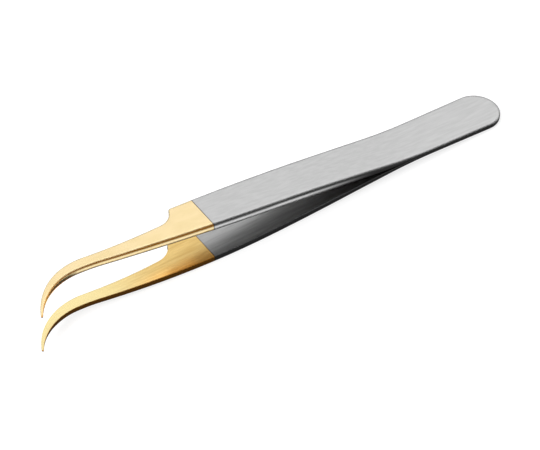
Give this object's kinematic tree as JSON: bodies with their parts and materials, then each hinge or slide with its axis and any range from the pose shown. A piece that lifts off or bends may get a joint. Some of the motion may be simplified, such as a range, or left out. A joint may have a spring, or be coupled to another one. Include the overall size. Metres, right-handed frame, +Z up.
{
  "type": "precision tweezers",
  "caption": "Fine-tipped tweezers with bowed flat steel arms and curved gold-plated blades, for lifting small delicate parts.",
  "frame": {"origin": "centre of the bounding box's base, on the surface that the tweezers lie on", "axes": "+X along the length from the joined rear end to the tips, +Y towards the side the tips curve to, +Z up, across the jaws"},
  "size_m": [0.115, 0.0124, 0.0133],
  "materials": {
    "satin_steel": "fine satin, brushed lengthwise",
    "gold_plating": "thin gold plating over the satin steel, from the tips to behind the notch"
  },
  "bodies": {
    "root": {"upper_arm": "satin_steel", "lower_arm": "satin_steel"}
  },
  "joints": []
}
